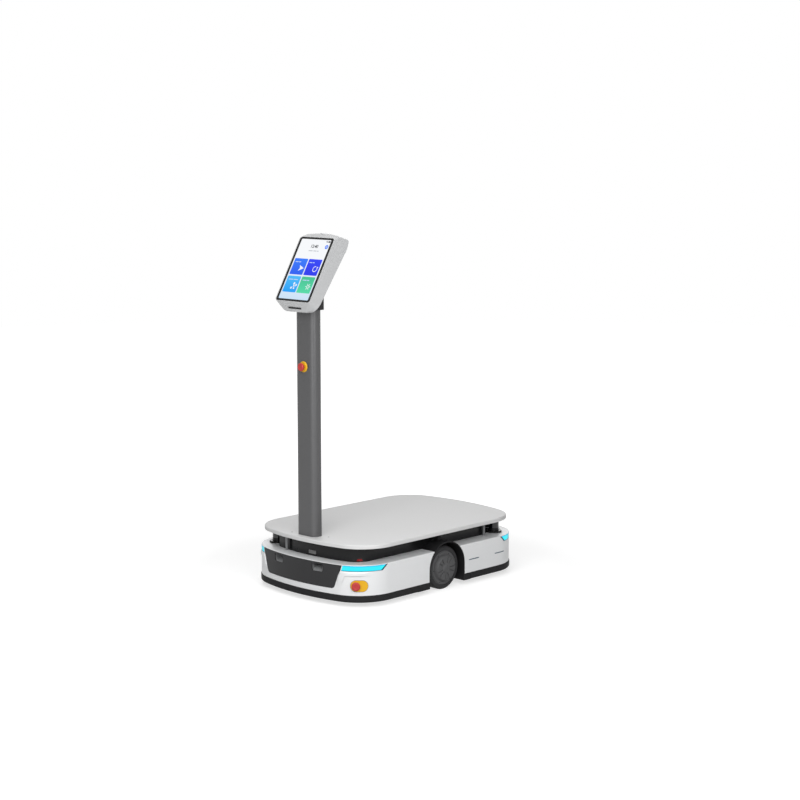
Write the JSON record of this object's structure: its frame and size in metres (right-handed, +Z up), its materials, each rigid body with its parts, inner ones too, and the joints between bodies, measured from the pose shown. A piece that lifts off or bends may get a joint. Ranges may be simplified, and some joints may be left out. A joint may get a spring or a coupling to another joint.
{
  "type": "industrial transport robot",
  "caption": "Low wheeled transport robot with a flat load deck, silver body with corner lamps, side drive wheels, swivel casters, and a mast carrying a tilted touch screen.",
  "frame": {"origin": "on the floor, under the middle of the base", "axes": "+Z up, -Y towards the front end with the mast, +X towards the robot's side that carries the corner stop button"},
  "size_m": [0.5704, 0.8753, 1.2196],
  "materials": {
    "shell_silver": "satin metallic paint",
    "deck_silver": "fine textured paint",
    "head_silver": "satin metallic paint",
    "mast_grey": "satin paint",
    "gloss_black": "polished",
    "panel_dark": "satin",
    "bumper_dark": "satin",
    "arch_black": "fine grain",
    "rubber_black": "matte",
    "tyre_black": "smooth tread",
    "caster_tread": "smooth",
    "wheel_alloy": "cast",
    "wheel_dark": "satin",
    "zinc_steel": "zinc plated",
    "pan_dark": "powder coat",
    "battery_case": "matte",
    "lamp_cyan": "lit strip under a clear lens",
    "stop_yellow": "satin",
    "stop_red": "satin",
    "pin_grey": "satin",
    "screen_glass": "lit display under cover glass"
  },
  "bodies": {
    "chassis": {"battery": "battery_case", "caster_cups": "pan_dark", "caster_plates": "zinc_steel", "core_housing": "gloss_black", "corner_stop_plate": "stop_yellow", "corner_stop_button": "stop_red", "deck": "deck_silver", "deck_pins": "pin_grey", "deck_stops": "rubber_black", "drive_mount_left": "zinc_steel", "drive_mount_right": "zinc_steel", "floor_pan": "pan_dark", "front_bumper": "bumper_dark", "rear_bumper": "bumper_dark", "front_panel": "panel_dark", "rear_panel": "panel_dark", "front_sensor_left": "gloss_black", "front_sensor_right": "gloss_black", "front_shell": "shell_silver", "rear_shell": "shell_silver", "head_housing": "head_silver", "head_back_cover": "panel_dark", "head_top_cap": "head_silver", "screen_glass": "screen_glass", "lamp_front_left": "lamp_cyan", "lamp_front_right": "lamp_cyan", "lamp_rear_left": "lamp_cyan", "lamp_rear_right": "lamp_cyan", "mast": "mast_grey", "mast_stop_ring": "stop_yellow", "mast_stop_button": "stop_red", "neck_collar": "panel_dark", "scanner_front": "gloss_black", "scanner_rear": "gloss_black", "side_skirt_left": "bumper_dark", "side_skirt_right": "bumper_dark", "wheel_arch_left": "arch_black", "wheel_arch_right": "arch_black"},
    "drive_left": {"drive_tyre_left": "tyre_black", "drive_hub_left": "wheel_alloy", "drive_cover_left": "wheel_dark"},
    "drive_right": {"drive_tyre_right": "tyre_black", "drive_hub_right": "wheel_alloy", "drive_cover_right": "wheel_dark"},
    "caster_front_left": {"caster_fork_front_left": "zinc_steel"},
    "caster_front_left_wheel": {"caster_wheel_front_left": "caster_tread"},
    "caster_front_right": {"caster_fork_front_right": "zinc_steel"},
    "caster_front_right_wheel": {"caster_wheel_front_right": "caster_tread"},
    "caster_rear_left": {"caster_fork_rear_left": "zinc_steel"},
    "caster_rear_left_wheel": {"caster_wheel_rear_left": "caster_tread"},
    "caster_rear_right": {"caster_fork_rear_right": "zinc_steel"},
    "caster_rear_right_wheel": {"caster_wheel_rear_right": "caster_tread"}
  },
  "joints": [
    {"name": "drive_left_spin", "type": "hinge", "parent": "chassis", "child": "drive_left", "pos_m": [-0.25, 0.005, 0.075], "axis": [1, 0, 0], "continuous": true},
    {"name": "drive_right_spin", "type": "hinge", "parent": "chassis", "child": "drive_right", "pos_m": [0.25, 0.005, 0.075], "axis": [1, 0, 0], "continuous": true},
    {"name": "caster_front_left_swivel", "type": "hinge", "parent": "chassis", "child": "caster_front_left", "pos_m": [-0.165, -0.318, 0.07], "axis": [0, 0, 1], "continuous": true},
    {"name": "caster_front_left_roll", "type": "hinge", "parent": "caster_front_left", "child": "caster_front_left_wheel", "pos_m": [-0.165, -0.296, 0.025], "axis": [1, 0, 0], "continuous": true},
    {"name": "caster_front_right_swivel", "type": "hinge", "parent": "chassis", "child": "caster_front_right", "pos_m": [0.165, -0.318, 0.07], "axis": [0, 0, 1], "continuous": true},
    {"name": "caster_front_right_roll", "type": "hinge", "parent": "caster_front_right", "child": "caster_front_right_wheel", "pos_m": [0.165, -0.296, 0.025], "axis": [1, 0, 0], "continuous": true},
    {"name": "caster_rear_left_swivel", "type": "hinge", "parent": "chassis", "child": "caster_rear_left", "pos_m": [-0.165, 0.3, 0.07], "axis": [0, 0, 1], "continuous": true},
    {"name": "caster_rear_left_roll", "type": "hinge", "parent": "caster_rear_left", "child": "caster_rear_left_wheel", "pos_m": [-0.165, 0.322, 0.025], "axis": [1, 0, 0], "continuous": true},
    {"name": "caster_rear_right_swivel", "type": "hinge", "parent": "chassis", "child": "caster_rear_right", "pos_m": [0.165, 0.3, 0.07], "axis": [0, 0, 1], "continuous": true},
    {"name": "caster_rear_right_roll", "type": "hinge", "parent": "caster_rear_right", "child": "caster_rear_right_wheel", "pos_m": [0.165, 0.322, 0.025], "axis": [1, 0, 0], "continuous": true}
  ]
}
